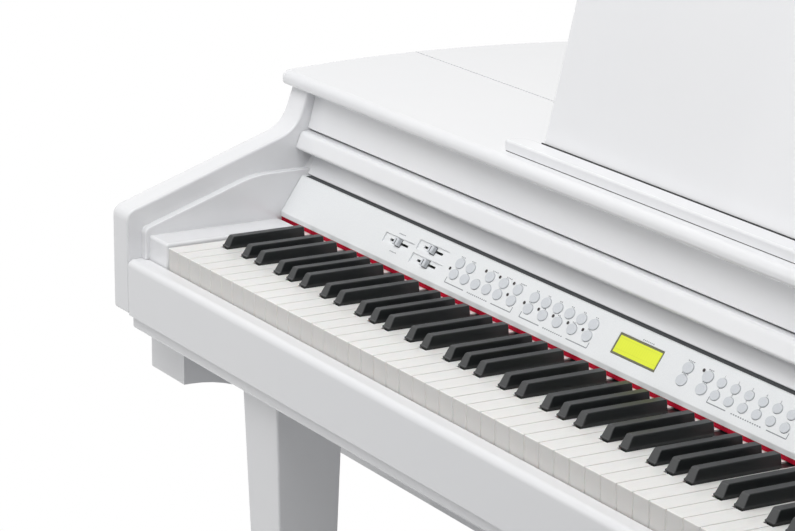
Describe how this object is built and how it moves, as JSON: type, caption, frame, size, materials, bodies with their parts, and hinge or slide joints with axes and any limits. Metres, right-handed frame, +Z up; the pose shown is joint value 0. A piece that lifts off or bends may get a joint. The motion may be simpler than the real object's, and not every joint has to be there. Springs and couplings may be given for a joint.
{
  "type": "digital piano on stand",
  "caption": "White digital grand with a bowed lidded case on tapered legs, full keyboard, sliding key cover, control panel, folding music desk and pedal lyre.",
  "frame": {"origin": "On the floor, under the middle of the whole outline.", "axes": "+X towards the right-hand end of the keyboard, +Y towards the back of the case, +Z up. The player sits on the -Y side."},
  "size_m": [1.454, 0.945, 1.175],
  "materials": {
    "white_lacquer": "white gloss lacquer over fibreboard",
    "case_board": "pale painted board",
    "panel_paint": "white satin paint",
    "white_key": "polished ivory white",
    "black_key": "satin black",
    "button_plastic": "pale grey, satin",
    "screen_plastic": "yellow-green backlit screen",
    "circuit_board": "green board with parts",
    "red_felt": "red wool felt",
    "steel": "plain steel",
    "hinge_brass": "polished brass",
    "aluminium": "drawn aluminium",
    "black_rubber": "soft black rubber",
    "black_plastic": "black moulded plastic",
    "prop_wood": "white lacquered hardwood"
  },
  "bodies": {
    "cabinet": {"side_arms": "white_lacquer", "rim_sides": "white_lacquer", "rim_back": "white_lacquer", "bottom_board": "case_board", "speaker_deck": "case_board", "front_apron": "white_lacquer", "side_beams": "white_lacquer", "keybed": "white_lacquer", "key_slip": "white_lacquer", "key_blocks": "white_lacquer", "cheek_panels": "white_lacquer", "control_panel": "panel_paint", "screen": "screen_plastic", "control_board": "circuit_board", "key_felt": "red_felt", "trim_strip": "white_lacquer", "fascia_board": "white_lacquer", "front_top_board": "white_lacquer", "lid_hinge_case": "hinge_brass", "lid_hinge_pins": "steel", "lid_buffers": "black_rubber", "prop_socket": "case_board", "desk_ledge": "white_lacquer", "desk_hinges": "steel", "cover_tracks": "aluminium", "key_rod": "steel", "key_frame": "steel", "front_legs": "white_lacquer", "rear_leg": "white_lacquer", "foot_pads": "steel", "lyre_box": "white_lacquer", "lyre_posts": "white_lacquer", "pedal_rod": "steel", "speakers": "black_plastic", "main_board": "circuit_board", "power_inlet": "black_plastic"},
    "lid": {"lid_main": "white_lacquer", "lid_hinge_lid": "hinge_brass", "prop_bracket": "steel"},
    "prop": {"lid_prop": "prop_wood"},
    "desk": {"music_desk": "white_lacquer"},
    "cover_carriage": {"cover_shaft": "steel", "cover_rollers": "black_plastic"},
    "cover": {"cover_rail": "white_lacquer", "cover_panel": "white_lacquer", "cover_brackets": "aluminium"},
    "white_a": {"white_keys_a": "white_key"},
    "white_b": {"white_keys_b": "white_key"},
    "white_c": {"white_keys_c": "white_key"},
    "black_a": {"black_keys_a": "black_key"},
    "black_b": {"black_keys_b": "black_key"},
    "slider_first": {"knob_first": "button_plastic"},
    "slider_upper": {"knob_upper": "button_plastic"},
    "slider_lower": {"knob_lower": "button_plastic"},
    "left_field": {"buttons_left": "button_plastic"},
    "middle_field": {"buttons_middle": "button_plastic"},
    "right_field": {"buttons_right": "button_plastic"},
    "left_pedal": {"pedal_left": "hinge_brass"},
    "middle_pedal": {"pedal_middle": "hinge_brass"},
    "right_pedal": {"pedal_right": "hinge_brass"}
  },
  "joints": [
    {"name": "cover_slide", "type": "slide", "parent": "cabinet", "child": "cover_carriage", "axis": [0, -1, 0], "range_m": [0, 0.18]},
    {"name": "cover_tilt", "type": "hinge", "parent": "cover_carriage", "child": "cover", "pos_m": [0, -0.0675, 0.814], "axis": [1, 0, 0], "range_deg": [0, 15]},
    {"name": "lid_hinge", "type": "hinge", "parent": "cabinet", "child": "lid", "pos_m": [-0.722, -0.0455, 0.856], "axis": [0, -1, 0], "range_deg": [0, 25]},
    {"name": "prop_pivot", "type": "hinge", "parent": "lid", "child": "prop", "pos_m": [0.611, 0.0675, 0.85], "axis": [0, -1, 0], "range_deg": [0, 80.5]},
    {"name": "desk_tilt", "type": "hinge", "parent": "cabinet", "child": "desk", "pos_m": [0, -0.2317, 0.883], "axis": [1, 0, 0], "range_deg": [-76, 0]},
    {"name": "white_a_press", "type": "hinge", "parent": "cabinet", "child": "white_a", "pos_m": [0, -0.2275, 0.718], "axis": [1, 0, 0], "range_deg": [0, 2.5], "stiffness_Nm_per_rad": 36, "springref_deg": -5.73},
    {"name": "white_b_press", "type": "hinge", "parent": "cabinet", "child": "white_b", "pos_m": [0, -0.2275, 0.718], "axis": [1, 0, 0], "range_deg": [0, 2.5], "stiffness_Nm_per_rad": 33, "springref_deg": -5.73},
    {"name": "white_c_press", "type": "hinge", "parent": "cabinet", "child": "white_c", "pos_m": [0, -0.2275, 0.718], "axis": [1, 0, 0], "range_deg": [0, 2.5], "stiffness_Nm_per_rad": 33, "springref_deg": -5.73},
    {"name": "black_a_press", "type": "hinge", "parent": "cabinet", "child": "black_a", "pos_m": [0, -0.2275, 0.718], "axis": [1, 0, 0], "range_deg": [0, 2.5], "stiffness_Nm_per_rad": 18, "springref_deg": -5.73},
    {"name": "black_b_press", "type": "hinge", "parent": "cabinet", "child": "black_b", "pos_m": [0, -0.2275, 0.718], "axis": [1, 0, 0], "range_deg": [0, 2.5], "stiffness_Nm_per_rad": 18, "springref_deg": -5.73},
    {"name": "slider_first_move", "type": "slide", "parent": "cabinet", "child": "slider_first", "axis": [1, 0, 0], "range_m": [-0.0155, 0.0155]},
    {"name": "slider_upper_move", "type": "slide", "parent": "cabinet", "child": "slider_upper", "axis": [1, 0, 0], "range_m": [-0.0155, 0.0155]},
    {"name": "slider_lower_move", "type": "slide", "parent": "cabinet", "child": "slider_lower", "axis": [1, 0, 0], "range_m": [-0.0155, 0.0155]},
    {"name": "left_field_press", "type": "slide", "parent": "cabinet", "child": "left_field", "axis": [0, 0.8231, -0.5679], "range_m": [0, 0.0008], "stiffness_N_per_m": 500, "springref_m": -0.001},
    {"name": "middle_field_press", "type": "slide", "parent": "cabinet", "child": "middle_field", "axis": [0, 0.8231, -0.5679], "range_m": [0, 0.0008], "stiffness_N_per_m": 500, "springref_m": -0.001},
    {"name": "right_field_press", "type": "slide", "parent": "cabinet", "child": "right_field", "axis": [0, 0.8231, -0.5679], "range_m": [0, 0.0008], "stiffness_N_per_m": 500, "springref_m": -0.001},
    {"name": "left_pedal_press", "type": "hinge", "parent": "cabinet", "child": "left_pedal", "pos_m": [0, -0.1975, 0.07], "axis": [1, 0, 0], "range_deg": [0, 5], "stiffness_Nm_per_rad": 20, "springref_deg": -8.59},
    {"name": "middle_pedal_press", "type": "hinge", "parent": "cabinet", "child": "middle_pedal", "pos_m": [0, -0.1975, 0.07], "axis": [1, 0, 0], "range_deg": [0, 5], "stiffness_Nm_per_rad": 20, "springref_deg": -8.59},
    {"name": "right_pedal_press", "type": "hinge", "parent": "cabinet", "child": "right_pedal", "pos_m": [0, -0.1975, 0.07], "axis": [1, 0, 0], "range_deg": [0, 5], "stiffness_Nm_per_rad": 20, "springref_deg": -8.59}
  ],
  "couplings": [
    {"joint": "cover_tilt", "follows": "cover_slide", "rad_per_m": 1.45},
    {"joint": "prop_pivot", "follows": "lid_hinge", "ratio": 3.2}
  ]
}
